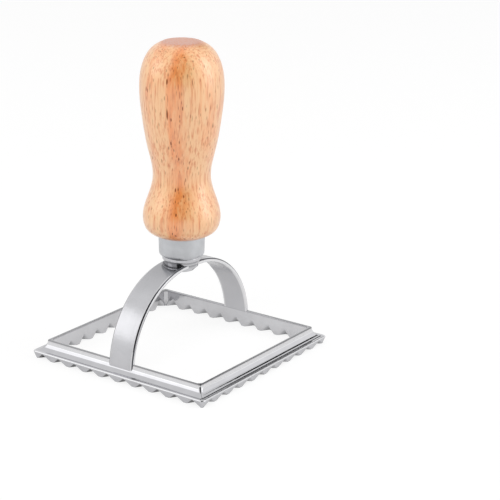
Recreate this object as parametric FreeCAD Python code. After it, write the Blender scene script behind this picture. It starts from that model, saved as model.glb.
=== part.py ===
import FreeCAD, Part
import math
import os

# Ravioli stamp with a square cutting frame, an arch and a turned wooden handle.
# It stands on its cutting edge at z = 0, and the handle's axis is Z. Sizes are in millimetres.

# Square frame: outline and moulding
LIP_SIDE = 76.0            # outside of the lip, across the square
LIP_TOP = 3.0              # height of the ledge on the lip
LIP_ROUNDING = 0.5         # rounding between the outer face and the ledge
LIP_CORNER_RADIUS = 1.4    # rounding of the lip's four corners, seen from above
LEDGE_WIDTH = 1.3          # flat ledge outside the cove
COVE_WIDTH = 2.5           # hollow moulding that climbs from the ledge to the ridge
COVE_DEPTH = 0.75          # how far the cove dips behind its chord
RIDGE_WIDTH = 1.0          # flat top of the wall
RIDGE_HEIGHT = 6.5         # top of the wall above the cutting edge
EDGE_LEAN = 1.0            # how far the outer face leans in from the lip to the cutting edge
CORNER_WEB = 1.2           # leg of the slanted strip that fills each inner corner
CORNER_WEB_FOOT = 2.2      # height below which that strip narrows to nothing

# Fluted cutting edge
TEETH_PER_SIDE = 9         # outward teeth of one side, between the two corner teeth
TOOTH_FLAT = 1.9           # flat at the tip of a tooth and at the bottom of a flute
BLADE = 0.9                # thickness of the metal left between an outer and an inner flute
OUTER_FLUTE_HEIGHT = 2.4   # where an outer flute runs out on the outer face
INNER_FLUTE_HEIGHT = 3.0   # where an inner flute runs out on the inner wall

# Arch: two quarter circles joined by a short level crown
ARCH_WIDTH = 10.4
ARCH_THICKNESS = 1.5
ARCH_INSET = 0.2           # from the inner wall to the arch's inner face at its springing
ARCH_SPRING = 2.65         # height of the centres of the quarter circles
ARCH_CROWN = 6.3           # length of the level crown, which the boss covers
ARCH_EDGE_RADIUS = 0.5     # rounding of the arch's two outer edges

# Boss at the crown of the arch
BOSS_RISE = 2.25           # seat of the ferrule above the arch's crown
BOSS_DROP = 1.5            # underside of the boss below the arch's inner face
BOSS_SEAT_RADIUS = 7.0
BOSS_SEAT_THICKNESS = 2.6
BOSS_BODY_RADIUS = 5.9
BOSS_CHAMFER = 1.3

# Ferrule, a drawn metal cup
FERRULE_HEIGHT = 7.75
FERRULE_RADIUS = 8.25      # at its mouth
FERRULE_TAPER = 0.2        # how much narrower it is above its rounding
FERRULE_ROUNDING = 1.3
FERRULE_WALL = 0.8

# Turned handle, from its shoulder to its top
HANDLE_LENGTH = 68.8
SHOULDER_RADIUS = 9.1
BULGE_RADIUS = 13.7
WAIST_RADIUS = 10.2
GRIP_RADIUS = 14.7
TOP_RADIUS = 6.4
BULGE_HEIGHT = 6.8         # heights above the shoulder
WAIST_HEIGHT = 20.9
GRIP_HEIGHT = 52.6

# Fullness of the handle's curve: shares of the height and of the swell between those places
FOOT_RISE_RATIO = 0.27     # a place on the way up from the shoulder to the bulge
FOOT_SWELL_RATIO = 0.66
NECK_SWELL_RATIO = 0.51    # share of the bulge left halfway up to the waist
LOW_SWELL_RATIO = 0.38     # shares of the grip's swell a third and two thirds up from the waist
HIGH_SWELL_RATIO = 0.79
DOME_RISE_RATIO = 0.56     # two places on the way up from the grip to the top
DOME_SWELL_RATIO = 0.84
RIM_RISE_RATIO = 0.88
RIM_SWELL_RATIO = 0.43

# Screw that holds the handle to the arch
SCREW_RADIUS = 2.0
SCREW_HEAD_RADIUS = 3.9
SCREW_HEAD_HEIGHT = 1.9
SCREW_POINT = 3.0          # length of the tapered point
SCREW_GRIP = 24.0          # how far the screw reaches into the wood
SLOT_WIDTH = 1.0
SLOT_DEPTH = 0.8

# Fits
FIT_GAP = 0.05             # all round between pieces that sit in each other
SCREW_SINK = 0.1           # the screw's head below the underside of the boss
CUT_MARGIN = 1.0           # how far a cutting shape runs past the metal

# Worked out from the sizes above
lip_half = LIP_SIDE / 2
edge_half = lip_half - EDGE_LEAN
face_top = LIP_TOP - LIP_ROUNDING
cove_foot = lip_half - LEDGE_WIDTH
ridge_half = cove_foot - COVE_WIDTH
inner_half = ridge_half - RIDGE_WIDTH
tooth_pitch = 2 * edge_half / (TEETH_PER_SIDE + 1)
arch_inner_radius = inner_half + ARCH_INSET - ARCH_CROWN / 2
arch_outer_radius = arch_inner_radius + ARCH_THICKNESS
crown_top = ARCH_SPRING + arch_outer_radius
crown_underside = ARCH_SPRING + arch_inner_radius
boss_top = crown_top + BOSS_RISE
boss_bottom = crown_underside - BOSS_DROP
shoulder = boss_top + FERRULE_HEIGHT
screw_top = boss_top + FERRULE_WALL + SCREW_GRIP


def point(x, y, z):
    return FreeCAD.Vector(x, y, z)


def line(start, end):
    return Part.LineSegment(start, end).toShape()


def arc(start, middle, end):
    return Part.Arc(start, middle, end).toShape()


def turned(edges):
    """Solid of revolution about Z of a closed outline in the XZ plane."""
    face = Part.Face(Part.Wire(edges))
    return face.revolve(point(0, 0, 0), point(0, 0, 1), 360)


def outline(corners):
    """Closed straight-sided outline in the XZ plane through (radius, height) corners."""
    places = [point(radius, 0, height) for radius, height in corners]
    return [line(a, b) for a, b in zip(places, places[1:] + places[:1])]


def pyramid(base, apex):
    """Solid between a flat base loop and an apex."""
    faces = [Part.Face(Part.makePolygon(base + base[:1]))]
    for a, b in zip(base, base[1:] + base[:1]):
        faces.append(Part.Face(Part.makePolygon([a, b, apex, a])))
    solid = Part.Solid(Part.Shell(faces))
    if solid.Volume < 0:
        solid.reverse()
    return solid


def flute_cutter(base, apex):
    """Pyramid through a base at z = 0, lengthened below it so that it cuts cleanly."""
    stretch = (apex.z + CUT_MARGIN) / apex.z
    return pyramid([apex + (corner - apex) * stretch for corner in base], apex)


def wall_section():
    """Section of the wall on the -Y side, as a face in the YZ plane."""
    bend = LIP_ROUNDING * (1 - math.sqrt(0.5))
    chord = point(0, cove_foot - ridge_half, RIDGE_HEIGHT - LIP_TOP)
    inward = point(0, chord.z, -chord.y).normalize() * COVE_DEPTH
    cove_middle = point(0, -(cove_foot + ridge_half) / 2, (LIP_TOP + RIDGE_HEIGHT) / 2) + inward
    foot_out = point(0, -edge_half, 0)
    face_end = point(0, -lip_half, face_top)
    round_middle = point(0, -lip_half + bend, LIP_TOP - bend)
    ledge_out = point(0, -lip_half + LIP_ROUNDING, LIP_TOP)
    ledge_in = point(0, -cove_foot, LIP_TOP)
    ridge_out = point(0, -ridge_half, RIDGE_HEIGHT)
    ridge_in = point(0, -inner_half, RIDGE_HEIGHT)
    foot_in = point(0, -inner_half, 0)
    edges = [
        line(foot_out, face_end),
        arc(face_end, round_middle, ledge_out),
        line(ledge_out, ledge_in),
        arc(ledge_in, cove_middle, ridge_out),
        line(ridge_out, ridge_in),
        line(ridge_in, foot_in),
        line(foot_in, foot_out),
    ]
    return Part.Face(Part.Wire(edges))


def plain_wall():
    """The -Y wall, mitred at 45 degrees at both ends."""
    reach = lip_half + CUT_MARGIN
    section = wall_section()
    section.translate(point(-reach, 0, 0))
    bar = section.extrude(point(2 * reach, 0, 0))
    loop = [point(0, 0, -CUT_MARGIN), point(-reach, -reach, -CUT_MARGIN), point(reach, -reach, -CUT_MARGIN)]
    wedge = Part.Face(Part.makePolygon(loop + loop[:1]))
    return bar.common(wedge.extrude(point(0, 0, RIDGE_HEIGHT + 2 * CUT_MARGIN)))


def outer_flute(place):
    """Cutter of one flute in the outer face, midway between two teeth."""
    bottom = inner_half + BLADE
    mouth = lip_half + CUT_MARGIN
    slope = (tooth_pitch / 2 - TOOTH_FLAT) / (edge_half - bottom)
    half_bottom = TOOTH_FLAT / 2
    half_mouth = half_bottom + slope * (mouth - bottom)
    base = [
        point(place - half_bottom, -bottom, 0),
        point(place + half_bottom, -bottom, 0),
        point(place + half_mouth, -mouth, 0),
        point(place - half_mouth, -mouth, 0),
    ]
    apex_half = edge_half + EDGE_LEAN * OUTER_FLUTE_HEIGHT / face_top
    return flute_cutter(base, point(place, -apex_half, OUTER_FLUTE_HEIGHT))


def inner_flute(place):
    """Cutter of one flute in the inner wall, behind a tooth."""
    bottom = edge_half - BLADE
    mouth = inner_half - CUT_MARGIN
    slope = (tooth_pitch / 2 - TOOTH_FLAT) / (bottom - inner_half)
    half_bottom = TOOTH_FLAT / 2
    half_mouth = half_bottom + slope * (bottom - mouth)
    base = [
        point(place - half_bottom, -bottom, 0),
        point(place + half_bottom, -bottom, 0),
        point(place + half_mouth, -mouth, 0),
        point(place - half_mouth, -mouth, 0),
    ]
    return flute_cutter(base, point(place, -inner_half, INNER_FLUTE_HEIGHT))


def fluted_wall():
    """One wall with its teeth: outer flutes between the teeth, inner flutes behind them."""
    first_tooth = -(TEETH_PER_SIDE - 1) / 2
    cutters = []
    for step in range(TEETH_PER_SIDE):
        cutters.append(inner_flute((first_tooth + step) * tooth_pitch))
    for step in range(TEETH_PER_SIDE + 1):
        cutters.append(outer_flute((first_tooth + step - 0.5) * tooth_pitch))
    return plain_wall().cut(cutters)


def corner_web():
    """Slanted strip in the inner corner at -X -Y, which narrows to nothing at the cutting edge."""
    corner = point(-inner_half, -inner_half, CORNER_WEB_FOOT)
    loop = [corner, corner + point(CORNER_WEB, 0, 0), corner + point(0, CORNER_WEB, 0)]
    strip = Part.Face(Part.makePolygon(loop + loop[:1])).extrude(point(0, 0, RIDGE_HEIGHT - CORNER_WEB_FOOT))
    return strip.fuse(pyramid(loop, point(-inner_half, -inner_half, 0)))


def frame():
    """Four mitred walls and their corner strips, with the lip's corners rounded."""
    quarter = fluted_wall().fuse(corner_web())
    quarters = []
    for turn in range(4):
        copy = quarter.copy()
        copy.rotate(point(0, 0, 0), point(0, 0, 1), 90 * turn)
        quarters.append(copy)
    ring = quarters[0].fuse(quarters[1:]).removeSplitter()
    block = Part.makeBox(LIP_SIDE, LIP_SIDE, RIDGE_HEIGHT + 2 * CUT_MARGIN, point(-lip_half, -lip_half, -CUT_MARGIN))
    upright = [edge for edge in block.Edges if abs(edge.tangentAt(edge.FirstParameter).z) > 0.5]
    return ring.common(block.makeFillet(LIP_CORNER_RADIUS, upright))


def half_arch():
    """Half of the arch's side view on the -Y side, as a face in the YZ plane."""
    centre = -ARCH_CROWN / 2

    def on_circle(radius, angle):
        return point(0, centre - radius * math.cos(angle), ARCH_SPRING + radius * math.sin(angle))

    outer = [on_circle(arch_outer_radius, share * math.pi / 2) for share in (0, 0.5, 1)]
    inner = [on_circle(arch_inner_radius, share * math.pi / 2) for share in (1, 0.5, 0)]
    return Part.Face(Part.Wire([
        arc(*outer),
        line(outer[2], point(0, 0, crown_top)),
        line(point(0, 0, crown_top), point(0, 0, crown_underside)),
        line(point(0, 0, crown_underside), inner[0]),
        arc(*inner),
        line(inner[2], outer[0]),
    ]))


def arch():
    """Flat strap from the middle of one wall over to the middle of the wall across."""
    side_view = half_arch()
    side_view.translate(point(-ARCH_WIDTH / 2, 0, 0))
    half = side_view.extrude(point(ARCH_WIDTH, 0, 0))
    strap = half.fuse(half.mirror(point(0, 0, 0), point(0, 1, 0))).removeSplitter()
    top = [edge for edge in strap.Edges if is_outer_arch_edge(edge)]
    return strap.makeFillet(ARCH_EDGE_RADIUS, top)


def is_outer_arch_edge(edge):
    """Whether an edge runs along one side of the arch's outer face."""
    middle = edge.valueAt((edge.FirstParameter + edge.LastParameter) / 2)
    across = edge.tangentAt(edge.FirstParameter).x
    beyond = max(abs(middle.y) - ARCH_CROWN / 2, 0)
    radius = math.hypot(beyond, middle.z - ARCH_SPRING)
    return abs(across) < 0.5 and abs(radius - arch_outer_radius) < ARCH_THICKNESS / 4


def boss():
    """Round boss through the crown: a wide seat on top and a chamfered body below."""
    step = boss_top - BOSS_SEAT_THICKNESS
    return turned(outline([
        (0, boss_bottom),
        (BOSS_BODY_RADIUS - BOSS_CHAMFER, boss_bottom),
        (BOSS_BODY_RADIUS, boss_bottom + BOSS_CHAMFER),
        (BOSS_BODY_RADIUS, step),
        (BOSS_SEAT_RADIUS, step),
        (BOSS_SEAT_RADIUS, boss_top),
        (0, boss_top),
    ]))


def screw_outline(gap, head_base):
    """Outline of the screw, or of its hole when a gap is added all round."""
    head_top = boss_bottom + SCREW_SINK + SCREW_HEAD_HEIGHT
    shank = SCREW_RADIUS + gap
    return [
        (0, head_base),
        (SCREW_HEAD_RADIUS + gap, head_base),
        (SCREW_HEAD_RADIUS + gap, boss_bottom + SCREW_SINK),
        (shank, head_top),
        (shank, screw_top - SCREW_POINT),
        (0, screw_top + gap),
    ]


def screw_hole():
    """The room that the screw takes in the boss, the ferrule and the wood."""
    return turned(outline(screw_outline(FIT_GAP, boss_bottom - CUT_MARGIN)))


def stamp_frame():
    """Casting: fluted square frame, arch and boss in one piece."""
    casting = frame().fuse([arch(), boss()]).removeSplitter()
    return casting.cut(screw_hole())


def ferrule():
    """Drawn cup with a rounded foot, a floor on the boss and a slight taper."""
    mouth = FERRULE_RADIUS
    foot = FERRULE_RADIUS - FERRULE_TAPER
    rounding_middle = FERRULE_ROUNDING * (1 - math.sqrt(0.5))
    floor_out = point(foot - FERRULE_ROUNDING, 0, boss_top)
    bend = point(foot - rounding_middle, 0, boss_top + rounding_middle)
    side = point(foot, 0, boss_top + FERRULE_ROUNDING)
    rim_out = point(mouth, 0, shoulder)
    rim_in = point(mouth - FERRULE_WALL, 0, shoulder)
    inside = point(foot - FERRULE_WALL, 0, boss_top + FERRULE_ROUNDING)
    inside_floor = point(foot - FERRULE_ROUNDING, 0, boss_top + FERRULE_WALL)
    centre_top = point(0, 0, boss_top + FERRULE_WALL)
    centre = point(0, 0, boss_top)
    cup = turned([
        line(centre, floor_out),
        arc(floor_out, bend, side),
        line(side, rim_out),
        line(rim_out, rim_in),
        line(rim_in, inside),
        line(inside, inside_floor),
        line(inside_floor, centre_top),
        line(centre_top, centre),
    ])
    return cup.cut(screw_hole())


def between(low, high, share):
    """A value a given share of the way from low to high."""
    return low + (high - low) * share


def handle_curve():
    """Turned outline of the grip, a smooth curve from the shoulder up to the top."""
    def grip(ratio, share):
        return between(WAIST_RADIUS, GRIP_RADIUS, ratio), between(WAIST_HEIGHT, GRIP_HEIGHT, share)

    def dome(ratio, share):
        return between(TOP_RADIUS, GRIP_RADIUS, ratio), between(GRIP_HEIGHT, HANDLE_LENGTH, share)

    places = [
        (SHOULDER_RADIUS, 0),
        (between(SHOULDER_RADIUS, BULGE_RADIUS, FOOT_SWELL_RATIO), BULGE_HEIGHT * FOOT_RISE_RATIO),
        (BULGE_RADIUS, BULGE_HEIGHT),
        (between(WAIST_RADIUS, BULGE_RADIUS, NECK_SWELL_RATIO), (BULGE_HEIGHT + WAIST_HEIGHT) / 2),
        (WAIST_RADIUS, WAIST_HEIGHT),
        grip(LOW_SWELL_RATIO, 1 / 3),
        grip(HIGH_SWELL_RATIO, 2 / 3),
        (GRIP_RADIUS, GRIP_HEIGHT),
        dome(DOME_SWELL_RATIO, DOME_RISE_RATIO),
        dome(RIM_SWELL_RATIO, RIM_RISE_RATIO),
        (TOP_RADIUS, HANDLE_LENGTH),
    ]
    curve = Part.BSplineCurve()
    curve.interpolate([point(radius, 0, shoulder + height) for radius, height in places])
    return curve.toShape()


def handle():
    """Turned handle with a tenon that fills the ferrule."""
    foot = FERRULE_RADIUS - FERRULE_TAPER
    tenon_end = boss_top + FERRULE_WALL + FIT_GAP
    tenon_root = point(FERRULE_RADIUS - FERRULE_WALL - FIT_GAP, 0, shoulder)
    tenon_side = point(foot - FERRULE_WALL - FIT_GAP, 0, boss_top + FERRULE_ROUNDING)
    tenon_tip = point(foot - FERRULE_ROUNDING - FIT_GAP, 0, tenon_end)
    top = shoulder + HANDLE_LENGTH
    wood = turned([
        line(point(0, 0, tenon_end), tenon_tip),
        line(tenon_tip, tenon_side),
        line(tenon_side, tenon_root),
        line(tenon_root, point(SHOULDER_RADIUS, 0, shoulder)),
        handle_curve(),
        line(point(TOP_RADIUS, 0, top), point(0, 0, top)),
        line(point(0, 0, top), point(0, 0, tenon_end)),
    ])
    return wood.cut(screw_hole())


def handle_screw():
    """Countersunk screw with a slotted head, driven up through the boss into the wood."""
    head_base = boss_bottom + SCREW_SINK
    corners = [corner for corner in screw_outline(0, head_base)]
    del corners[2]
    screw = turned(outline(corners))
    slot_length = 2 * SCREW_HEAD_RADIUS + 2 * CUT_MARGIN
    slot = Part.makeBox(
        slot_length, SLOT_WIDTH, SLOT_DEPTH + CUT_MARGIN,
        point(-slot_length / 2, -SLOT_WIDTH / 2, head_base - CUT_MARGIN),
    )
    return screw.cut(slot)


def main():
    os.makedirs("parts", exist_ok=True)
    pieces = {
        "stamp_frame": stamp_frame(),
        "ferrule": ferrule(),
        "handle": handle(),
        "handle_screw": handle_screw(),
    }
    for name, shape in pieces.items():
        shape.exportStep(os.path.join("parts", name + ".step"))
        print(name, "solids", len(shape.Solids), "valid", shape.isValid(), "volume", round(shape.Volume, 1))


main()
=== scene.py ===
import math

import bpy
import numpy as np
from mathutils import Matrix, Vector


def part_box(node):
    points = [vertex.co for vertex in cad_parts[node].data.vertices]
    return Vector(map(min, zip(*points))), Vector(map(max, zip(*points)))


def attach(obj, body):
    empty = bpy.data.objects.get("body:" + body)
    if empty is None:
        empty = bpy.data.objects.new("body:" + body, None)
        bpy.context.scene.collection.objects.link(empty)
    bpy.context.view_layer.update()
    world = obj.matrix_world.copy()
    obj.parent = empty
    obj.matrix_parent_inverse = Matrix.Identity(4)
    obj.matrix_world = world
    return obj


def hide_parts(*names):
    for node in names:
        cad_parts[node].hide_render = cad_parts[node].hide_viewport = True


bl_info = {
    "name": "Ravioli Stamp",
    "version": (1, 0, 0),
    "blender": (4, 5, 0),
    "location": "3D View > Sidebar > Stamp",
    "description": "Builds a ravioli stamp: fluted frame, arch, boss, ferrule and turned handle",
    "category": "Add Mesh",
}

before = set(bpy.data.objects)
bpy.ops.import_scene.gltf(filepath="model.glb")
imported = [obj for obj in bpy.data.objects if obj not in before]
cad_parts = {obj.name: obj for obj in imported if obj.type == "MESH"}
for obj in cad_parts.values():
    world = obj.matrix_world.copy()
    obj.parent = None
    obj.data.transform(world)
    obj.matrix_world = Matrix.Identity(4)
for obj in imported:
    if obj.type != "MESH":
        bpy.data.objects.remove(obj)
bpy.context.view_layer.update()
_, FRAME_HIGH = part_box("stamp_frame")
FERRULE_LOW, FERRULE_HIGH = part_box("ferrule")
HANDLE_LOW, HANDLE_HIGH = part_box("handle")
SCREW_LOW, SCREW_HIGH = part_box("handle_screw")
MM = 0.001
# Room between the screw or the tenon and the piece round it
CLEARANCE = 0.05 * MM


def length(name, description, default, **options):
    """A property for a length in metres."""
    return bpy.props.FloatProperty(
        name=name, description=description, default=default, unit="LENGTH", subtype="DISTANCE", **options
    )


def colour(name, description, default):
    """A property for an opaque colour."""
    return bpy.props.FloatVectorProperty(
        name=name, description=description, default=default, size=3, min=0, max=1, subtype="COLOR"
    )


class WallSizes(bpy.types.PropertyGroup):
    """Sizes of the square frame."""

    half_width: length("Half width", "Half of the lip, across the square", FRAME_HIGH.x)
    lip_top: length("Lip top", "Height of the ledge on the lip", 3.0 * MM)
    lip_rounding: length("Lip rounding", "Rounding between the outer face and the ledge", 0.5 * MM)
    lip_corner: length("Lip corner", "Rounding of the lip's corners from above", 1.4 * MM)
    ledge_width: length("Ledge width", "Flat ledge outside the cove", 1.3 * MM)
    cove_width: length("Cove width", "Hollow moulding from the ledge to the ridge", 2.5 * MM)
    cove_depth: length("Cove depth", "How far the cove dips behind its chord", 0.75 * MM)
    ridge_width: length("Ridge width", "Flat top of the wall", 1.0 * MM)
    ridge_height: length("Ridge height", "Top of the wall above the cutting edge", 6.5 * MM)
    ridge_corner: length("Ridge corner", "Rounding of the ridge's corners from above", 1.0 * MM)
    ridge_rounding: length("Ridge rounding", "Rounding of the ridge's long edges", 0.22 * MM)
    lean: length("Lean", "How far the outer face leans in down to the edge", 1.0 * MM)
    web: length("Corner strip", "Leg of the slanted strip in each inner corner", 1.2 * MM)
    web_foot: length("Corner strip foot", "Height below which the strip narrows", 2.2 * MM)
    teeth: bpy.props.IntProperty(name="Teeth", description="Teeth between two corner teeth", default=9, min=3)
    tooth_flat: length("Tooth flat", "Flat at the tip of a tooth", 1.9 * MM)
    blade: length("Blade", "Metal left between an outer and an inner flute", 0.9 * MM)
    outer_flute: length("Outer flute", "Height where an outer flute runs out", 2.4 * MM)
    inner_flute: length("Inner flute", "Height where an inner flute runs out", 3.0 * MM)
    softness: length("Softness", "Rounding of the flutes' edges", 0.12 * MM)


class ArchSizes(bpy.types.PropertyGroup):
    """Sizes of the arch and its boss."""

    width: length("Width", "Width of the strap", 10.4 * MM)
    thickness: length("Thickness", "Thickness of the strap", 1.5 * MM)
    radius: length("Radius", "Outer radius of the strap's quarter circles", 31.75 * MM)
    spring: length("Spring", "Height of the centres of the quarter circles", 2.65 * MM)
    crown: length("Crown", "Length of the level crown", 6.3 * MM)
    edge: length("Edge", "Rounding of the strap's outer edges", 0.75 * MM)
    seat_radius: length("Seat radius", "Radius of the ferrule's seat", 7.0 * MM)
    seat_ring: length("Seat ring", "Thickness of the seat's upper, wider ring", 1.35 * MM)
    seat_thickness: length("Seat thickness", "Thickness of the ferrule's stepped seat", 2.6 * MM)
    boss_radius: length("Boss radius", "Radius of the boss below the seat", 5.9 * MM)
    boss_bottom: length("Boss bottom", "Height of the underside of the boss", SCREW_LOW.z - 0.1 * MM)
    boss_chamfer: length("Boss chamfer", "Chamfer round the underside of the boss", 1.3 * MM)


class HandleSizes(bpy.types.PropertyGroup):
    """Sizes of the ferrule and the turned handle."""

    ferrule_radius: length("Ferrule radius", "Radius of the ferrule at its mouth", 8.25 * MM)
    ferrule_taper: length("Ferrule taper", "How much narrower the ferrule is at its foot", 0.2 * MM)
    ferrule_rounding: length("Ferrule rounding", "Rounding at the foot of the ferrule", 1.3 * MM)
    ferrule_wall: length("Ferrule wall", "Thickness of the ferrule", 0.8 * MM)
    shoulder_radius: length("Shoulder radius", "Radius where the wood meets the ferrule", 9.1 * MM)
    bulge_radius: length("Bulge radius", "Widest radius of the lower bulge", 13.7 * MM)
    bulge_height: length("Bulge height", "Height of the bulge above the shoulder", 6.8 * MM)
    waist_radius: length("Waist radius", "Narrowest radius of the handle", 10.2 * MM)
    waist_height: length("Waist height", "Height of the waist above the shoulder", 20.9 * MM)
    grip_radius: length("Grip radius", "Widest radius of the grip", HANDLE_HIGH.x)
    grip_height: length("Grip height", "Height of the widest grip above the shoulder", 52.6 * MM)
    top_radius: length("Top radius", "Radius of the flat end", 6.4 * MM)
    screw_hole: length("Screw hole", "Radius of the hole for the screw", 2.05 * MM)


class Finishes(bpy.types.PropertyGroup):
    """Colours of the metal and the wood."""

    cast_metal: colour("Cast metal", "Polished cast metal", (0.55, 0.55, 0.57))
    # Bright metal for rubbed edges, and for painted highlights on the lip, the cove and the arch
    rubbed_and_highlight_metal: colour("Worn metal", "Edges that are rubbed bright", (0.80, 0.80, 0.81))
    # Colour of the painted dark reflection along the arch's rounded edges
    edge_reflection_colour: colour("Edge line", "Dark line along the arch's rounded edges", (0.05, 0.05, 0.06))
    drawn_metal: colour("Drawn metal", "Satin metal of the ferrule", (0.58, 0.59, 0.61))
    screw_metal: colour("Screw metal", "Plain steel of the screw", (0.6, 0.6, 0.61))
    wood_pale: colour("Pale wood", "Early wood", (0.90, 0.485, 0.20))
    wood_warm: colour("Warm wood", "Late wood", (0.88, 0.265, 0.035))
    wood_pore: colour("Pore", "Pores and dark streaks", (0.22, 0.04, 0.005))
    wood_end: colour("End grain", "End of the handle", (0.68, 0.41, 0.34))


def between(low, high, share):
    """A value a given share of the way from low to high."""
    return low + (high - low) * share


def smooth_min(a, b, width):
    """The lesser of two fields, with the crease between them rounded over a width."""
    blend = np.clip(0.5 + 0.5 * (b - a) / width, 0, 1)
    return b + (a - b) * blend - width * blend * (1 - blend)


def smooth_max(a, b, width):
    """The greater of two fields, with the crease between them rounded over a width."""
    return -smooth_min(-a, -b, width)


def spline(places, count):
    """Natural cubic through the places, run by the length of the chords between them, as count points."""
    places = np.asarray(places, float)
    run = np.concatenate([[0], np.cumsum(np.linalg.norm(np.diff(places, axis=0), axis=1))])
    step = np.diff(run)
    size = len(places)
    system = np.zeros((size, size))
    right = np.zeros((size, places.shape[1]))
    system[0, 0] = system[-1, -1] = 1
    inner = np.arange(1, size - 1)
    system[inner, inner - 1] = step[:-1]
    system[inner, inner] = 2 * (step[:-1] + step[1:])
    system[inner, inner + 1] = step[1:]
    slope = np.diff(places, axis=0) / step[:, None]
    right[1:-1] = 6 * np.diff(slope, axis=0)
    bend = np.linalg.solve(system, right)
    at = np.linspace(0, run[-1], count)
    k = np.clip(np.searchsorted(run, at, side="right") - 1, 0, size - 2)
    h = step[k][:, None]
    a = (run[k + 1] - at)[:, None]
    b = (at - run[k])[:, None]
    cubic = (bend[k] * a ** 3 + bend[k + 1] * b ** 3) / (6 * h)
    low = (places[k] / h - bend[k] * h / 6) * a
    high = (places[k + 1] / h - bend[k + 1] * h / 6) * b
    return cubic + low + high


def rounded(corners, radii, steps=6):
    """Open outline through corners, each turned with an arc of its own radius, 0 for a sharp one."""
    corners = np.asarray(corners, float)
    turn = np.linspace(0, 1, steps + 1)[:, None]
    nearly_straight = math.pi / 2 - 0.01
    pieces = [corners[:1]]
    for before, corner, after, radius in zip(corners, corners[1:], corners[2:], radii[1:-1]):
        back = (before - corner) / np.linalg.norm(before - corner)
        on = (after - corner) / np.linalg.norm(after - corner)
        half = math.acos(float(np.clip(back @ on, -1, 1))) / 2
        if radius <= 0 or half > nearly_straight:
            pieces.append(corner[None])
            continue
        reach = radius / math.tan(half)
        start = corner + back * reach
        middle = corner + (back + on) / np.linalg.norm(back + on) * radius / math.sin(half)
        from_middle = start - middle
        side = (corner + on * reach) - middle
        sweep = math.pi - 2 * half
        arc = (np.sin((1 - turn) * sweep) * from_middle + np.sin(turn * sweep) * side) / math.sin(sweep)
        pieces.append(middle + arc)
    pieces.append(corners[-1:])
    return np.concatenate(pieces)


def grid_faces(rows, columns, close_rows, close_columns):
    """Quads between neighbouring rows and columns of a grid, round the join where it is closed."""
    r = np.arange(rows if close_rows else rows - 1)
    c = np.arange(columns if close_columns else columns - 1)
    r, c = np.meshgrid(r, c, indexing="ij")
    up, on = (r + 1) % rows, (c + 1) % columns
    quads = [r * columns + c, r * columns + on, up * columns + on, up * columns + c]
    return np.stack(quads, -1).reshape(-1, 4)


def add_object(name, data):
    """A new object in the scene that holds the data."""
    made = bpy.data.objects.new(name, data)
    bpy.context.scene.collection.objects.link(made)
    return made


def new_piece(name, places, faces, material, node, extra=(), layers=()):
    """A smooth mesh object in the row frame that rides on the part and stands for a CAD node.

    Each layer is a name and a value for every vertex, which the material can read.
    """
    mesh = bpy.data.meshes.new(name)
    mesh.from_pydata(places.reshape(-1, 3).tolist(), [], faces.tolist() + list(extra))
    mesh.validate()
    mesh.polygons.foreach_set("use_smooth", np.ones(len(mesh.polygons), bool))
    for layer, values in layers:
        mesh.attributes.new(layer, "FLOAT", "POINT").data.foreach_set("value", values.ravel())
    mesh.update()
    mesh.materials.append(material)
    piece = add_object(name, mesh)
    face_outwards(piece)
    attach(piece, "root")
    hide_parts(node)
    return piece


def face_outwards(piece):
    """Turns every face outwards when the closed mesh holds a negative volume."""
    mesh = piece.data
    mesh.calc_loop_triangles()
    corners = np.empty(len(mesh.loop_triangles) * 3, np.int32)
    mesh.loop_triangles.foreach_get("vertices", corners)
    places = np.empty(len(mesh.vertices) * 3)
    mesh.vertices.foreach_get("co", places)
    a, b, c = places.reshape(-1, 3)[corners.reshape(-1, 3)].transpose(1, 0, 2)
    if np.einsum("ij,ij->i", a, np.cross(b, c)).sum() < 0:
        mesh.flip_normals()


def lathe(name, outline, material, node, segments=160, layers=()):
    """Surface of revolution about Z: radius and height along the outline, angle round the axis.

    Where an end lies on the axis, its ring is one vertex and a fan of triangles closes it.
    An outline with no end on the axis is closed on itself like a ring. Each layer is a name and
    a value for every place of such an outline.
    """
    outline = np.asarray(outline, float)
    angle = np.linspace(0, 2 * math.pi, segments, endpoint=False)
    on_axis = np.isclose(outline[:, 0], 0)
    rings = outline[~on_axis]
    places = np.stack([
        rings[:, :1] * np.cos(angle),
        rings[:, :1] * np.sin(angle),
        np.repeat(rings[:, 1:], segments, axis=1),
    ], -1).reshape(-1, 3)
    faces = grid_faces(len(rings), segments, not on_axis.any(), True)
    step = np.arange(segments)
    after = (step + 1) % segments
    extra = []
    for end, ring in ((0, 0), (-1, len(rings) - 1)):
        if on_axis[end]:
            pole = np.full(segments, len(places))
            places = np.concatenate([places, [[0, 0, outline[end, 1]]]])
            first, second = (after, step) if end == 0 else (step, after)
            extra += np.stack([ring * segments + first, ring * segments + second, pole], 1).tolist()
    layers = [(layer, np.repeat(values, segments)) for layer, values in layers]
    return new_piece(name, places, faces, material, node, extra, layers)


def wall_limits(sizes):
    """Half width of the outer face at its foot, half width inside, and the pitch of the teeth."""
    foot = sizes.half_width - sizes.lean
    inner = sizes.half_width - sizes.ledge_width - sizes.cove_width - sizes.ridge_width
    return foot, inner, 2 * foot / (sizes.teeth + 1)


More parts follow.
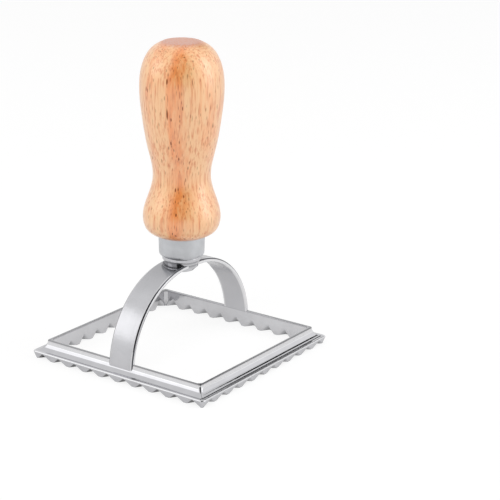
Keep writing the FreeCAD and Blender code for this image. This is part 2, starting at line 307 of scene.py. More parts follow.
def wall_rows(sizes, face_rows=15, lip_rows=7, cove_rows=15, inner_rows=22):
    """Rows of the wall's closed section, from the outer foot over the moulding to the inner foot.

    Each row holds its half width, its height, the rounding of its corners from above, the leg of
    its corner strip, which flutes shape it (1 the outer ones, -1 the inner ones, 0 none), how
    bright it is painted, 1 on the edges that are rubbed bright and on the painted highlight of the
    upper cove, and how much painted shade it has, as the depth of a flute gives it.
    """
    foot, inner, _ = wall_limits(sizes)
    face_top = sizes.lip_top - sizes.lip_rounding
    cove_foot = sizes.half_width - sizes.ledge_width
    ridge = cove_foot - sizes.cove_width
    rows = []

    def add(half, height, corner, strip=0, flutes=0, wear_and_highlight=0, shade_level=0):
        rows.append((half, height, corner, strip, flutes, wear_and_highlight, shade_level))

    foot_corner = 0.35 * sizes.lip_corner
    for share in np.linspace(0, 1, face_rows):
        corner = between(foot_corner, sizes.lip_corner, share)
        # The foot row gets painted shade, a dark line along the cutting edge
        add(foot + sizes.lean * share, share * face_top, corner, flutes=1, shade_level=0.5 * (share == 0))
    for angle in np.linspace(0, math.pi / 2, lip_rows)[1:]:
        half = sizes.half_width - sizes.lip_rounding * (1 - math.cos(angle))
        # The lip's rounding is painted bright: rubbed-bright wear and a painted highlight
        add(half, face_top + sizes.lip_rounding * math.sin(angle), sizes.lip_corner, wear_and_highlight=0.6)
    for share in (0.2, 0.6):
        add(between(half, cove_foot, share), sizes.lip_top, sizes.lip_corner)
    rise = sizes.ridge_height - sizes.lip_top
    chord = np.array([ridge - cove_foot, rise])
    normal = np.array([-rise, ridge - cove_foot]) / np.linalg.norm(chord)
    cove_end, highlight_from = 0.93, 0.6
    for share in np.linspace(0, cove_end, cove_rows):
        sag = 4 * share * (1 - share) * sizes.cove_depth
        half, height = np.array([cove_foot, sizes.lip_top]) + chord * share + normal * sag
        corner = between(sizes.lip_corner / 2, sizes.ridge_corner, share)
        # The upper cove is painted bright, as a painted highlight
        add(half, height, corner, wear_and_highlight=0.8 * (share > highlight_from))
    soft = sizes.ridge_rounding
    low = sizes.ridge_height - 2 * soft
    corners = [(half, height), (ridge, sizes.ridge_height), (inner, sizes.ridge_height), (inner, low)]
    for half, height in rounded(corners, [0, soft, soft, 0], steps=5)[1:]:
        # The ridge's rows get painted shade, dark lines along the ridge
        if half > (ridge + inner) / 2:
            add(half, height, sizes.ridge_corner, shade_level=0.5)
        else:
            add(half, height, 0, sizes.web, shade_level=0.25)
    for height in np.linspace(low, 0, inner_rows)[1:]:
        strip = sizes.web * min(1.0, height / sizes.web_foot)
        # The inner face is made a little brighter
        add(inner, height, 0, strip, flutes=-1, wear_and_highlight=0.35)
    return np.array(rows)


def fluted(sizes, half, along, height, kind):
    """Half width of the fluted faces at a place along the wall.

    A flute is a pyramid cut into a face: at each height its floor climbs in a straight line to
    the flute's apex and its flanks open at one slope, so the face is the lesser (outer) or the
    greater (inner) of the plain face and the pyramid.
    """
    foot, inner, pitch = wall_limits(sizes)
    depth = foot - inner - sizes.blade
    flank = (pitch / 2 - sizes.tooth_flat) / depth
    soft = sizes.softness

    def past_flat(distance, share):
        """How far a place lies beyond the flat at the flute's floor, which narrows to the apex."""
        past = np.maximum(distance - sizes.tooth_flat / 2 * (1 - share), 0)
        return np.sqrt(past ** 2 + soft ** 2) - soft

    from_tooth = np.abs(along / pitch - np.round(along / pitch)) * pitch
    from_gap = pitch / 2 - from_tooth
    out_share = np.clip(height / sizes.outer_flute, 0, 1)
    out_apex = foot + sizes.lean * sizes.outer_flute / (sizes.lip_top - sizes.lip_rounding)
    out_floor = between(inner + sizes.blade, out_apex, out_share)
    outer = smooth_min(half, out_floor + past_flat(from_gap, out_share) / flank, soft)
    outer = np.where((height < sizes.outer_flute) & (np.abs(along) < foot), outer, half)
    in_share = np.clip(height / sizes.inner_flute, 0, 1)
    in_floor = between(foot - sizes.blade, inner, in_share)
    past_last_tooth = 0.05
    within = np.abs(along) < pitch * (sizes.teeth / 2 + past_last_tooth)
    inner_face = smooth_max(half, in_floor - past_flat(from_tooth, in_share) / flank, soft)
    inner_face = np.where((height < sizes.inner_flute) & within, inner_face, half)
    return np.where(kind > 0, outer, np.where(kind < 0, inner_face, half))


def wall_surface(sizes, main=264, fan=18, turn=5):
    """The square ring: rows of its section carried along one side, then turned four times.

    Along a side the columns are parallel up to the inner corners, fan out from there to each
    row's own corner, and go round half of it to the diagonal. With the places come two layers:
    how bright the metal is painted, on edges rubbed bright and as painted highlight, and how much
    painted shade it has. In a flute the shade is the depth in millimetres times a share of its
    own, and elsewhere it is what the row says.
    """
    rows = wall_rows(sizes)
    half, height, corner, strip, kind, wear_and_highlight, _ = (rows[:, k:k + 1] for k in range(rows.shape[1]))
    parallel = half.min() - sizes.web
    least_fan = 0.001 * MM
    u_main = np.linspace(0, 1, main // 2, endpoint=False)[None]
    u_fan = np.linspace(0, 1, fan, endpoint=False)[None]
    u_turn = np.linspace(0, 1, turn + 1)[None]
    straight = half - corner - strip
    along_main = np.broadcast_to(u_main * parallel, (len(rows), main // 2))
    along_fan = between(parallel, np.maximum(straight, parallel + least_fan), u_fan)
    flat = np.concatenate([along_main, along_fan], 1)
    out_flat = fluted(sizes, half, flat, height, kind)
    sweep = u_turn * math.pi / 4
    arc_along = straight + corner * np.sin(sweep) + strip * u_turn / 2
    arc_out = half - corner * (1 - np.cos(sweep)) - strip * u_turn / 2
    along = np.concatenate([flat, arc_along], 1)
    out = np.concatenate([out_flat, arc_out], 1)
    # One eighth runs from the middle of a side to the diagonal; its mirror makes the side whole
    along = np.concatenate([-along[:, :0:-1], along[:, :-1]], 1)
    out = np.concatenate([out[:, :0:-1], out[:, :-1]], 1)
    level = np.broadcast_to(height, along.shape)
    painted_shade = wall_painted_shade(sizes, rows, along, out)
    layers = [("wear_and_highlight", np.tile(np.broadcast_to(wear_and_highlight, along.shape), 4)), ("painted_shade", np.tile(painted_shade, 4))]
    sides = []
    for quarter in range(4):
        c, s = round(math.cos(quarter * math.pi / 2)), round(math.sin(quarter * math.pi / 2))
        sides.append(np.stack([c * along + s * out, s * along - c * out, level], -1))
    return np.concatenate(sides, 1), layers


def wall_painted_shade(sizes, rows, along, out):
    """How much painted shade each place of a side has: by its depth in a flute, or as its row says.

    The flank on the same side of every outer tooth gets the deeper painted shade, the inner flutes
    less, and the mitres in the cove, at the start of a side, get a painted line of shade as well.
    """
    half, height, corner, strip, kind, _, shade_level = (rows[:, k:k + 1] for k in range(rows.shape[1]))
    shaded_flank, lit_flank, inner_flute, mitre = 2.1, 0.45, 0.2, 0.8
    _, _, pitch = wall_limits(sizes)
    # Painted shade: one flank of every outer tooth is shaded more deeply than the other
    share = np.where(along / pitch > np.round(along / pitch), shaded_flank, lit_flank)
    painted_shade = np.where(kind > 0, share * (half - out), inner_flute * (out - half) * (kind < 0)) / MM
    painted_shade = np.where(np.abs(along) < half - corner, painted_shade, 0)
    painted_shade = np.maximum(painted_shade, shade_level)
    # Painted shade: a dark line in the cove's mitres
    painted_shade[:, :1] += mitre * ((kind == 0) & (strip == 0) & (height > sizes.lip_top))
    return painted_shade


def arch_path(sizes, middle_radius, steps=60):
    """Middle line of the strap in the YZ plane: two quarter circles joined by a level crown."""
    angle = np.linspace(0, math.pi / 2, steps)
    y = -sizes.crown / 2 - middle_radius * np.cos(angle)
    z = sizes.spring + middle_radius * np.sin(angle)
    normal = np.stack([-np.cos(angle), np.sin(angle)], 1)
    left = np.stack([y, z], 1)
    right = left[::-1] * [-1, 1]
    return np.concatenate([left, right]), np.concatenate([normal, normal[::-1] * [-1, 1]])


def strap_surface(sizes):
    """The strap: a rounded rectangle, wide along X, carried along the arch's middle line.

    With the places comes a layer of painted dark reflection, 1 in the middle of its two outer rounded edges.
    """
    half, thick = sizes.width / 2, sizes.thickness / 2
    inner_edge = sizes.edge * 0.3
    radii = [0, sizes.edge, inner_edge, inner_edge, sizes.edge, 0]
    corners = [(0, thick), (half, thick), (half, -thick), (-half, -thick), (-half, thick), (0, thick)]
    # Painted dark reflection across each outer rounded edge
    line_across_edge = [0, 0, 0.2, 1, 1, 0.8, 0, 0]
    turn = len(line_across_edge)
    section = rounded(corners, radii, turn - 1)[:-1]
    path, normal = arch_path(sizes, sizes.radius - thick)
    across = np.broadcast_to(section[None, :, 0], (len(path), len(section)))
    outward = path[:, None, :] + normal[:, None, :] * section[None, :, 1:]
    edge_reflection_line = np.zeros(len(section))
    edge_reflection_line[1:1 + turn] = edge_reflection_line[1 + 3 * turn:1 + 4 * turn] = line_across_edge
    return np.concatenate([across[..., None], outward], -1), [("edge_reflection_line", np.tile(edge_reflection_line, len(path)))]


class Nodes:
    """Short calls for building one material."""

    def __init__(self, name, **sockets):
        self.material = bpy.data.materials.new(name)
        self.material.use_nodes = True
        self.tree = self.material.node_tree
        self.tree.nodes.clear()
        self.shader = self.tree.nodes.new("ShaderNodeBsdfPrincipled")
        self.output = self.tree.nodes.new("ShaderNodeOutputMaterial")
        self.link(self.shader.outputs["BSDF"], self.output.inputs["Surface"])
        for socket, value in sockets.items():
            self.shader.inputs[socket.replace("_", " ")].default_value = value
        self.place = self.tree.nodes.new("ShaderNodeTexCoord").outputs["Object"]

    def link(self, source, target):
        self.tree.links.new(source, target)

    def put(self, value, target):
        """Links the input to a socket, or sets it to a plain value."""
        if isinstance(value, bpy.types.NodeSocket):
            self.link(value, target)
        else:
            target.default_value = value

    def node(self, kind, inputs=None, **settings):
        made = self.tree.nodes.new("ShaderNode" + kind)
        for key, value in settings.items():
            setattr(made, key, value)
        for key, value in (inputs or {}).items():
            self.put(value, made.inputs[key])
        return made

    def scaled(self, scale, location=(0, 0, 0), rotation=(0, 0, 0)):
        """The place in the row frame, scaled, turned and moved."""
        return self.node("Mapping", {
            "Vector": self.place, "Scale": scale, "Location": location, "Rotation": rotation,
        }).outputs[0]

    def noise(self, vector, scale=1.0, detail=3.0, roughness=0.5, distortion=0.0):
        return self.node("TexNoise", {
            "Vector": vector, "Scale": scale, "Detail": detail,
            "Roughness": roughness, "Distortion": distortion,
        }).outputs["Fac"]

    def layer(self, name):
        """A value that the mesh holds for each of its vertices."""
        return self.node("Attribute", attribute_name=name).outputs["Fac"]

    def size_of(self, vector):
        return self.node("VectorMath", {0: vector}, operation="LENGTH").outputs["Value"]

    def part_of(self, vector, axis):
        return self.node("SeparateXYZ", {0: vector}).outputs[axis]

    def math(self, operation, a, b=0.5, clamp=False):
        return self.node("Math", {0: a, 1: b}, operation=operation, use_clamp=clamp).outputs[0]

    def times(self, a, b, clamp=False):
        return self.math("MULTIPLY", a, b, clamp)

    def remap(self, value, low, high, to_low=0.0, to_high=1.0):
        return self.node("MapRange", {
            "Value": value, "From Min": low, "From Max": high, "To Min": to_low, "To Max": to_high,
        }).outputs[0]

    def mix(self, share, a, b):
        made = self.node("Mix", data_type="RGBA")
        for value, index in ((share, 0), (a, 6), (b, 7)):
            self.put(value, made.inputs[index])
        return made.outputs[2]

    def bump(self, height, strength, distance):
        made = self.node("Bump", {"Height": height, "Strength": strength, "Distance": distance})
        self.link(made.outputs[0], self.shader.inputs["Normal"])

    def feed(self, socket, source):
        self.link(source, self.shader.inputs[socket])


def opaque(tint, *factors):
    """A colour with an alpha of 1, each part times its factor, or every part times one factor."""
    factors = factors or (1,)
    red, green, blue = factors if len(factors) == 3 else factors * 3
    return (tint[0] * red, tint[1] * green, tint[2] * blue, 1.0)


def clouded(m, clouds, tint, share):
    """The tint, with clouds in which only a share of it is left."""
    return m.mix(m.remap(clouds, 0.35, 0.7), opaque(tint), opaque(tint, share))


def polished_casting(finishes):
    """Polished cast metal with faint clouds and a soft unevenness.

    Its edges rubbed bright and its painted highlights are lighter. Painted shade darkens it, and
    makes it rougher, in the flutes, the mitres, along the ridge and the foot, and at the boss's steps.
    """
    m = Nodes("polished_casting", Metallic=1.0)
    clouds = m.noise(m.place, 220.0)
    body = clouded(m, clouds, finishes.cast_metal, 0.93)
    # Edges rubbed bright and painted highlights: the bright metal is mixed in
    body = m.mix(m.times(m.layer("wear_and_highlight"), 0.7), body, opaque(finishes.rubbed_and_highlight_metal))
    # Painted shade: the colour is darkened and the metal made rougher
    shade_mask = m.remap(m.layer("painted_shade"), 0.05, 0.8)
    m.feed("Base Color", m.mix(shade_mask, body, opaque(finishes.cast_metal, 0.2)))
    m.feed("Roughness", m.math("ADD", m.remap(clouds, 0.3, 0.7, 0.04, 0.10), m.times(shade_mask, 0.2)))
    fine = m.noise(m.place, 1800.0, detail=2.0)
    wave = m.noise(m.place, 160.0, detail=2.0)
    m.bump(m.math("ADD", m.times(fine, 0.10), wave), strength=0.06, distance=0.0006)
    return m.material


def satin_casting(finishes):
    """The arch's metal: brushed along its length, with a painted dark reflection near the boss, and polished
    next to it.

    A painted dark reflection runs as a thin line along the middle of its rounded edges, with a painted
    highlight, partly rubbed bright, beside it.
    """
    m = Nodes("satin_casting", Metallic=1.0)
    body = clouded(m, m.noise(m.place, 160.0), finishes.cast_metal, 0.94)
    edge_from, edge_to = 4.4 * MM, 4.7 * MM
    edge = m.remap(m.math("ABSOLUTE", m.part_of(m.place, 0)), edge_from, edge_to)
    from_axis = m.size_of(m.scaled((1.0, 1.0, 0.0)))
    boss, polish_reach, reflection_reach = 9.0 * MM, 14.0 * MM, 23.0 * MM
    polished, painted_boss_reflection = (
        m.math("SUBTRACT", m.remap(from_axis, boss, reach, 1.0, 0.0), edge, True)
        for reach in (polish_reach, reflection_reach)
    )
    # Painted dark reflection of the boss and the ferrule near the crown
    body = m.mix(painted_boss_reflection, body, opaque(finishes.cast_metal, 0.66))
    # Painted highlight beside the rounded edges, partly rubbed bright
    body = m.mix(m.times(edge, 0.75), body, opaque(finishes.rubbed_and_highlight_metal))
    # Painted dark reflection along the middle of the rounded edges
    m.feed("Base Color", m.mix(m.layer("edge_reflection_line"), body, opaque(finishes.edge_reflection_colour)))
    brushed = m.noise(m.scaled((2600.0, 90.0, 90.0)), detail=2.0)
    polish = m.math("ADD", m.times(polished, 0.14), m.times(edge, 0.16))
    m.feed("Roughness", m.math("SUBTRACT", m.remap(brushed, 0.3, 0.7, 0.235, 0.27), polish))
    uneven = m.noise(m.place, 900.0, detail=2.0)
    m.bump(m.math("ADD", m.times(brushed, 0.2), uneven), strength=0.08, distance=0.0003)
    return m.material


def drawn_metal(finishes):
    """The ferrule's metal: satin, with faint rings left by turning."""
    m = Nodes("drawn_metal", Metallic=1.0)
    rings = m.noise(m.scaled((60.0, 60.0, 5200.0)), detail=2.0)
    clouds = m.noise(m.place, 260.0)
    m.feed("Base Color", clouded(m, clouds, finishes.drawn_metal, 0.9))
    m.feed("Roughness", m.remap(rings, 0.3, 0.7, 0.36, 0.46))
    m.bump(m.math("ADD", m.times(rings, 0.5), clouds), strength=0.08, distance=0.0003)
    return m.material


def screw_steel(finishes):
    """Plain steel with fine turning marks."""
    m = Nodes("screw_steel", Metallic=1.0)
    marks = m.noise(m.scaled((400.0, 400.0, 3000.0)), detail=2.0)
    m.feed("Base Color", clouded(m, marks, finishes.screw_metal, 0.85))
    m.feed("Roughness", m.remap(marks, 0.3, 0.7, 0.24, 0.36))
    m.bump(marks, strength=0.1, distance=0.0002)
    return m.material


def wood_warmth(m):
    """How far the wood is warm late wood: rings about a pith beside the blank, and a heart stripe.

    The rings are a slow noise of the distance from the pith, so they are broad where they lie
    along the surface and close together where they run into it.
    """
    blank = m.scaled((1.0, 1.0, 0.02), location=(0.012, 0.034, 0.0), rotation=(0.0, 0.02, 0.92))
    rings = m.noise(m.node("CombineXYZ", {
        0: m.times(m.size_of(blank), 210.0), 1: 0.0, 2: m.times(m.part_of(m.place, 2), 9.0),
    }).outputs[0], detail=4.0, roughness=0.6, distortion=0.3)
    ragged = m.noise(m.scaled((560.0, 560.0, 75.0)), roughness=0.6)
    heart_at, heart_reach = 31.5 * MM, 7.0 * MM
    from_heart = m.math("SUBTRACT", m.math("ABSOLUTE", m.part_of(blank, 1)), heart_at)
    heart = m.remap(m.math("ABSOLUTE", from_heart), 0.0, heart_reach, 0.14, -0.08)
    return m.remap(m.math("ADD", m.math("ADD", rings, heart), m.times(ragged, 0.6)), 0.72, 1.04)


def pore_cells(m, across, along, reach, least, crowd):
    """Pores of one kind: long narrow cells, of which those above the least value are dark inside.

    They show as dashes on the sides and as dots where the surface cuts across them.
    """
    cells = m.node("TexVoronoi", {"Vector": m.scaled((across, across, along)), "Scale": 1.0})
    near = m.remap(cells.outputs["Distance"], reach * 0.5, reach, 1.0, 0.0)
    depth = m.remap(m.node("SeparateColor", {0: cells.outputs["Color"]}).outputs[0], least, 1.0)
    return m.times(m.times(near, depth), crowd)


def dark_streak(m, x, y, z, half_length):
    """An upright dark streak in the wood, a fine spindle about its middle, all in millimetres."""
    half_width, core, rim = 0.34, 0.2, 0.4
    flat = half_width / half_length
    streak = m.scaled((1.0, 1.0, flat), location=(-x * MM, -y * MM, -z * flat * MM))
    return m.remap(m.size_of(streak), core * MM, rim * MM, 0.95, 0.0)


def lacquered_wood(finishes):
    """Lacquered wood: growth rings, fine straight grain, and dark pores.

    The pores lie close together in the warm wood, and two long dark streaks run beside it near
    the top. The flat end shows the end grain, with less lacquer, and painted shade darkens the
    wood to a rim above the ferrule.
    """
    m = Nodes("lacquered_wood", Coat_Roughness=0.32, Coat_IOR=2.2, IOR=1.45)
    warm = wood_warmth(m)
    body = m.mix(warm, opaque(finishes.wood_pale), opaque(finishes.wood_warm))
    grain = m.noise(m.scaled((1450.0, 1450.0, 60.0)), roughness=0.6)
    dark = opaque(finishes.wood_warm, 0.82, 0.76, 0.7)
    light = opaque(finishes.wood_pale, 1.03, 1.18, 1.3)
    brown = opaque(finishes.wood_warm, 0.62, 0.46, 0.3)
    body = m.mix(m.remap(grain, 0.51, 0.65), body, dark)
    body = m.mix(m.remap(grain, 0.30, 0.46, 0.5, 0.0), body, light)
    # Pores lie closer together where the wood is warm
    crowd = m.math("ADD", m.times(warm, 0.8), 0.35)
    pores = []
    for across, along, reach, least, tint in (
        (1900.0, 210.0, 0.36, 0.35, brown),
        (1100.0, 300.0, 0.30, 0.55, opaque(finishes.wood_pore)),
        (800.0, 75.0, 0.20, 0.74, opaque(finishes.wood_pore)),
    ):
        pores.append(pore_cells(m, across, along, reach, least, crowd))
        body = m.mix(m.times(pores[-1], 1.6, True), body, tint)
    for streak in ((4.18, -13.66, 90.6, 2.7), (4.21, -13.76, 102.0, 1.2)):
        pores.append(dark_streak(m, *streak))
        body = m.mix(pores[-1], body, opaque(finishes.wood_pore))
    pore = m.times(pores[0], 0.4)
    for deep in pores[1:]:
        pore = m.math("MAXIMUM", pore, deep)
    height = m.part_of(m.place, 2)
    end = m.remap(height, HANDLE_HIGH.z - 1.0 * MM, HANDLE_HIGH.z - 0.05 * MM)
    end_grain = m.mix(m.remap(grain, 0.4, 0.6, 0.0, 0.5), opaque(finishes.wood_end), dark)
    # Painted shade: the wood darkens towards the ferrule
    rim = m.remap(height, FERRULE_HIGH.z, FERRULE_HIGH.z + 1.6 * MM, 0.7, 0.0)
    m.feed("Base Color", m.mix(rim, m.mix(end, body, end_grain), dark))
    lacquer = m.remap(end, 0.0, 1.0, 1.0, 0.15)
    m.feed("Coat Weight", m.math("SUBTRACT", lacquer, m.times(pore, 1.6), True))
    m.feed("Roughness", m.remap(grain, 0.3, 0.7, 0.34, 0.46))
    m.bump(m.math("SUBTRACT", m.times(grain, 0.3), pore), strength=0.15, distance=0.0002)
    return m.material


def boss_outline(sizes, hole):
    """Outline of the boss, from inside its screw hole down, out and up, with painted shade at its steps.

    The painted shade is given for every place of the outline.
    """
    top, bottom = FERRULE_LOW.z, sizes.boss_bottom
    head = SCREW_HIGH.x + CLEARANCE
    step = top - sizes.seat_thickness
    ring = top - sizes.seat_ring
    collar = between(sizes.boss_radius, sizes.seat_radius, 0.5)
    soft, head_rim = 0.25 * MM, 0.1 * MM
    corners = [
        (hole, between(bottom, top, 0.5)),
        (hole, bottom + head - hole),
        (head, bottom + head_rim),
        (head, bottom),
        (sizes.boss_radius - sizes.boss_chamfer, bottom),
        (sizes.boss_radius, bottom + sizes.boss_chamfer),
        (sizes.boss_radius, step),
        (collar, step),
        (collar, ring),
        (sizes.seat_radius, ring),
        (sizes.seat_radius, top),
        (hole, top),
        (hole, between(bottom, top, 0.5)),
    ]
    outline = rounded(corners, [0, 0, 0, soft / 3, *[soft] * 7, 0, 0])[:-1]
    inner_steps = [(sizes.boss_radius, step), (collar, ring)]
    away = np.min([np.linalg.norm(outline - corner, axis=1) for corner in inner_steps], axis=0)
    # Painted shade in the inner corners of the steps
    shade_level, shade_reach = 0.45, 0.3 * MM
    return outline, np.where(away < shade_reach, shade_level, 0.0)


def ferrule_outline(sizes):
    """Outline of the ferrule's cup, from inside its screw hole out, up and back down inside."""
    low, high = FERRULE_LOW.z, FERRULE_HIGH.z
    mouth, wall, hole = sizes.ferrule_radius, sizes.ferrule_wall, sizes.screw_hole
    foot = mouth - sizes.ferrule_taper
    turn, lip = sizes.ferrule_rounding, 0.15 * MM
    corners = [
        (hole, low + wall / 2), (hole, low), (foot, low), (mouth, high), (mouth - wall, high),
        (foot - wall, low + wall), (hole, low + wall), (hole, low + wall / 2),
    ]
    return rounded(corners, [0, 0, turn, lip, lip, turn - wall, 0, 0], steps=10)[:-1]


def handle_outline(sizes):
    """Outline from the screw hole's end down, round the tenon and up the turned curve to the top.

    The turned curve is a spline through the widest and narrowest places and, between two of
    these, through places given by their share of the way from one to the other.
    """
    shoulder, top = FERRULE_HIGH.z, HANDLE_HIGH.z
    length_of_wood = top - shoulder
    mouth = sizes.ferrule_radius - sizes.ferrule_wall - CLEARANCE
    foot = mouth - sizes.ferrule_taper
    small = sizes.ferrule_rounding - sizes.ferrule_wall
    grip, crest, waist, bulge = sizes.grip_radius, sizes.top_radius, sizes.waist_radius, sizes.bulge_radius
    grip_at, waist_at, bulge_at = sizes.grip_height, sizes.waist_height, sizes.bulge_height

    def place(narrow, wide, swell, low, high, rise):
        return between(narrow, wide, swell), shoulder + between(low, high, rise)

    curve = spline([
        (sizes.shoulder_radius, shoulder),
        place(sizes.shoulder_radius, bulge, 0.66, 0, bulge_at, 0.27),
        (bulge, shoulder + bulge_at),
        place(waist, bulge, 0.51, bulge_at, waist_at, 0.5),
        (waist, shoulder + waist_at),
        place(waist, grip, 0.38, waist_at, grip_at, 1 / 3),
        place(waist, grip, 0.79, waist_at, grip_at, 2 / 3),
        (grip, shoulder + grip_at),
        place(crest, grip, 0.84, grip_at, length_of_wood, 0.56),
        place(crest, grip, 0.43, grip_at, length_of_wood, 0.88),
        (crest, top),
    ], count=170)
    hole_point = 3 * MM
    tenon = [
        (0, SCREW_HIGH.z + CLEARANCE),
        (sizes.screw_hole, SCREW_HIGH.z - hole_point),
        (sizes.screw_hole, HANDLE_LOW.z),
        (foot - small, HANDLE_LOW.z),
        (foot, HANDLE_LOW.z + small),
        (mouth, shoulder),
    ]
    soft = 0.4 * MM
    rim = rounded([curve[-2], curve[-1], (0, top)], [0, soft, 0], steps=5)[1:]
    return np.concatenate([tenon, curve[:-1], rim])


class StampOperator:
    """What every step of the stamp shares."""

    bl_options = {"REGISTER", "UNDO"}


class STAMP_OT_walls(StampOperator, bpy.types.Operator):
    """Build the square frame with its moulding and fluted edge"""

    bl_idname = "stamp.walls"
    bl_label = "Fluted Frame"

    def execute(self, context):
        sizes = context.scene.stamp_walls
        grid, layers = wall_surface(sizes)
        faces = grid_faces(grid.shape[0], grid.shape[1], True, True)
        material = polished_casting(context.scene.stamp_finishes)
        new_piece("fluted_frame", grid, faces, material, "stamp_frame", layers=layers)
        return {"FINISHED"}


class STAMP_OT_arch(StampOperator, bpy.types.Operator):
    """Build the strap that arches over the frame"""

    bl_idname = "stamp.arch"
    bl_label = "Arch"

    def execute(self, context):
        grid, layers = strap_surface(context.scene.stamp_arch)
        rows, columns = grid.shape[:2]
        faces = grid_faces(rows, columns, False, True)
        ends = [list(range(columns)), list(range(rows * columns - 1, (rows - 1) * columns - 1, -1))]
        material = satin_casting(context.scene.stamp_finishes)
        new_piece("arch_strap", grid, faces, material, "stamp_frame", ends, layers)
        return {"FINISHED"}


class STAMP_OT_boss(StampOperator, bpy.types.Operator):
    """Build the round boss at the crown of the arch"""

    bl_idname = "stamp.boss"
    bl_label = "Boss"

    def execute(self, context):
        outline, painted_shade = boss_outline(context.scene.stamp_arch, context.scene.stamp_handle.screw_hole)
        material = polished_casting(context.scene.stamp_finishes)
        lathe("arch_boss", outline, material, "stamp_frame", layers=[("painted_shade", painted_shade)])
        return {"FINISHED"}


class STAMP_OT_ferrule(StampOperator, bpy.types.Operator):
    """Build the metal cup round the foot of the handle"""

    bl_idname = "stamp.ferrule"
    bl_label = "Ferrule"

    def execute(self, context):
        outline = ferrule_outline(context.scene.stamp_handle)
        material = drawn_metal(context.scene.stamp_finishes)
        lathe("ferrule_cup", outline, material, "ferrule")
        return {"FINISHED"}


class STAMP_OT_handle(StampOperator, bpy.types.Operator):
    """Build the turned wooden handle with its tenon"""

    bl_idname = "stamp.handle"
    bl_label = "Handle"

    def execute(self, context):
        outline = handle_outline(context.scene.stamp_handle)
        material = lacquered_wood(context.scene.stamp_finishes)
        piece = lathe("wooden_handle", outline, material, "handle", segments=256)
        # The photograph's metal shows none of the wood's orange
        piece.visible_glossy = False
        return {"FINISHED"}


class STAMP_OT_screw(StampOperator, bpy.types.Operator):
    """Give the screw its steel"""

    bl_idname = "stamp.screw"
    bl_label = "Screw"

    def execute(self, context):
        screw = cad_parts["handle_screw"]
        screw.data.materials.clear()
        screw.data.materials.append(screw_steel(context.scene.stamp_finishes))
        return {"FINISHED"}


class STAMP_OT_stage(StampOperator, bpy.types.Operator):
    """Set the floor, the light and the camera"""

    bl_idname = "stamp.stage"
    bl_label = "Stage"

    def execute(self, context):
        scene = context.scene
        scene.view_settings.view_transform = "Standard"
        make_floor()
        make_world(scene)
        make_lights()
        make_flags()
        make_camera(scene)
        return {"FINISHED"}


def towards(bearing, climb, distance):
    """Place at a distance from the stamp, by its bearing (0 the front, 90 the right) and its climb."""
    bearing, climb = math.radians(bearing), math.radians(climb)
    level = math.cos(climb)
    return distance * Vector((math.sin(bearing) * level, -math.cos(bearing) * level, math.sin(climb)))


def make_floor():
    """White floor that keeps the stamp's shadow; most of its white is steady, so the shadow is light."""
    mesh = bpy.data.meshes.new("floor")
    reach = 4.0
    corners = [(-reach, -reach, 0), (reach, -reach, 0), (reach, reach, 0), (-reach, reach, 0)]
    mesh.from_pydata(corners, [], [(0, 1, 2, 3)])
    m = Nodes("white_floor", Roughness=0.7, Base_Color=(0.95, 0.95, 0.95, 1))
    path = m.node("LightPath")
    steady_shares = (("Is Camera Ray", 0.8), ("Is Glossy Ray", 0.45))
    seen, mirrored = (m.times(path.outputs[kind], share) for kind, share in steady_shares)
    steady = m.node("Emission", {"Color": (1, 1, 1, 1), "Strength": 1.045})
    share = m.math("ADD", seen, mirrored)
    blend = m.node("MixShader", {0: share, 1: m.shader.outputs[0], 2: steady.outputs[0]})
    m.link(blend.outputs[0], m.output.inputs["Surface"])
    mesh.materials.append(m.material)
    add_object("floor", mesh)


def make_world(scene):
    """Soft white light from all round, and plain white wherever it is seen."""
    world = bpy.data.worlds.new("studio")
    scene.world = world
    world.use_nodes = True
    nodes, links = world.node_tree.nodes, world.node_tree.links
    nodes.clear()
    output = nodes.new("ShaderNodeOutputWorld")
    background = nodes.new("ShaderNodeBackground")
    background.inputs["Color"].default_value = (1, 1, 1, 1)
    path = nodes.new("ShaderNodeLightPath")
    level = nodes.new("ShaderNodeMapRange")
    level.inputs["To Min"].default_value = 1.0
    level.inputs["To Max"].default_value = 0.4
    links.new(path.outputs["Is Diffuse Ray"], level.inputs["Value"])
    links.new(level.outputs[0], background.inputs["Strength"])
    links.new(background.outputs[0], output.inputs["Surface"])


def make_lights():
    """Soft boxes on both sides of the camera, and fills farther off that the metal doesn't show."""
    box_distance, fill_distance = 0.8, 1.6
    for name, bearing, climb, width, height, radiance, shown in (
        ("left_box", -44, 28, 0.42, 0.40, 0.74, True),
        ("right_box", 118, 22, 0.36, 0.64, 1.3, True),
        ("back_box", 150, 20, 0.40, 0.40, 0.22, True),
        ("left_fill", -55, 42, 1.0, 1.0, 1.2, False),
        ("right_fill", 125, 42, 1.0, 1.0, 1.9, False),
        ("front_fill", 20, 50, 1.0, 1.0, 3.0, False),
    ):
        light = bpy.data.lights.new(name, "AREA")
        light.shape = "RECTANGLE"
        light.size, light.size_y = width, height
        light.energy = radiance * math.pi * width * height
        lamp = add_object(name, light)
        lamp.location = towards(bearing, climb, box_distance if shown else fill_distance)
        lamp.rotation_euler = (-lamp.location).to_track_quat("-Z", "Y").to_euler()
        lamp.visible_glossy = shown


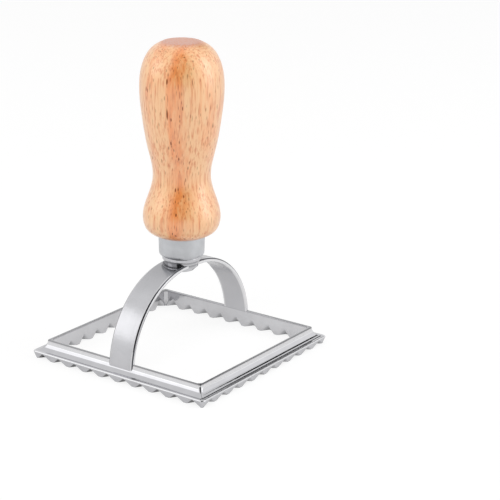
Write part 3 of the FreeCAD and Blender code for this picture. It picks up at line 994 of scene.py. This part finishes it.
def make_flags():
    """Dark cloths that only reflections show, each a patch of a wide sphere.

    The one behind the camera takes the veil of light off the middle of the lacquered wood, and
    the others show as dark lines in the polished metal.
    """
    reach, rows, columns = 1.1, 9, 65
    for name, bearing, spread, low, high, shade in (
        ("camera_flag", 37, 32, 6, 84, 0.05),
        ("black_flag", 169, 6, 35, 42, 0.01),
        ("back_flag", 204, 16, 28, 52, 0.02),
    ):
        turn = np.radians(bearing + np.linspace(-spread, spread, columns))[None, :]
        climb = np.radians(np.linspace(low, high, rows))[:, None]
        places = np.stack([
            reach * np.sin(turn) * np.cos(climb),
            -reach * np.cos(turn) * np.cos(climb),
            np.broadcast_to(reach * np.sin(climb), (rows, columns)),
        ], -1)
        mesh = bpy.data.meshes.new(name)
        faces = grid_faces(rows, columns, False, False)
        mesh.from_pydata(places.reshape(-1, 3).tolist(), [], faces.tolist())
        m = Nodes("flag_cloth", Roughness=1.0, Base_Color=(shade, shade, shade, 1))
        mesh.materials.append(m.material)
        flag = add_object(name, mesh)
        flag.visible_camera = flag.visible_diffuse = flag.visible_shadow = False


def make_camera(scene):
    """Camera on the photograph's bearing, aimed so that the axis's foot lands where it does there."""
    picture, sensor = 500, 36.0
    foot_x, foot_y = 181.60, 349.97
    distance, focal = 0.600, 1652.0
    bearing, climb = math.radians(37.43), math.radians(21.85)
    level = math.cos(climb)
    back = Vector((math.sin(bearing) * level, -math.cos(bearing) * level, math.sin(climb)))
    right = Vector((math.cos(bearing), math.sin(bearing), 0))
    up = back.cross(right)
    straight = Matrix((right, up, back)).transposed()
    ray = Vector(((foot_x - picture / 2) / focal, (picture / 2 - foot_y) / focal, -1)).normalized()
    turn = Vector((0, 0, -1)).rotation_difference(ray).to_matrix()
    pose = (straight @ turn.transposed()).to_4x4()
    pose.translation = back * distance
    data = bpy.data.cameras.new("camera")
    data.sensor_width = sensor
    data.lens = focal / picture * sensor
    data.clip_start = 0.01
    camera = add_object("camera", data)
    camera.matrix_world = pose
    scene.camera = camera


class STAMP_PT_panel(bpy.types.Panel):
    """The steps that build the stamp"""

    bl_idname = "STAMP_PT_panel"
    bl_label = "Ravioli Stamp"
    bl_space_type = "VIEW_3D"
    bl_region_type = "UI"
    bl_category = "Stamp"

    def draw(self, context):
        for step in STEPS:
            self.layout.operator(step.bl_idname)


GROUPS = {
    "stamp_walls": WallSizes,
    "stamp_arch": ArchSizes,
    "stamp_handle": HandleSizes,
    "stamp_finishes": Finishes,
}
STEPS = (
    STAMP_OT_stage,
    STAMP_OT_walls,
    STAMP_OT_arch,
    STAMP_OT_boss,
    STAMP_OT_ferrule,
    STAMP_OT_handle,
    STAMP_OT_screw,
)
CLASSES = (*GROUPS.values(), *STEPS, STAMP_PT_panel)


def register():
    for item in CLASSES:
        bpy.utils.register_class(item)
    for name, group in GROUPS.items():
        setattr(bpy.types.Scene, name, bpy.props.PointerProperty(type=group))


def unregister():
    for name in GROUPS:
        delattr(bpy.types.Scene, name)
    for item in reversed(CLASSES):
        bpy.utils.unregister_class(item)


def main():
    register()
    for step in STEPS:
        group, name = step.bl_idname.split(".")
        getattr(getattr(bpy.ops, group), name)()
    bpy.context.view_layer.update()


if __name__ == "__main__":
    main()
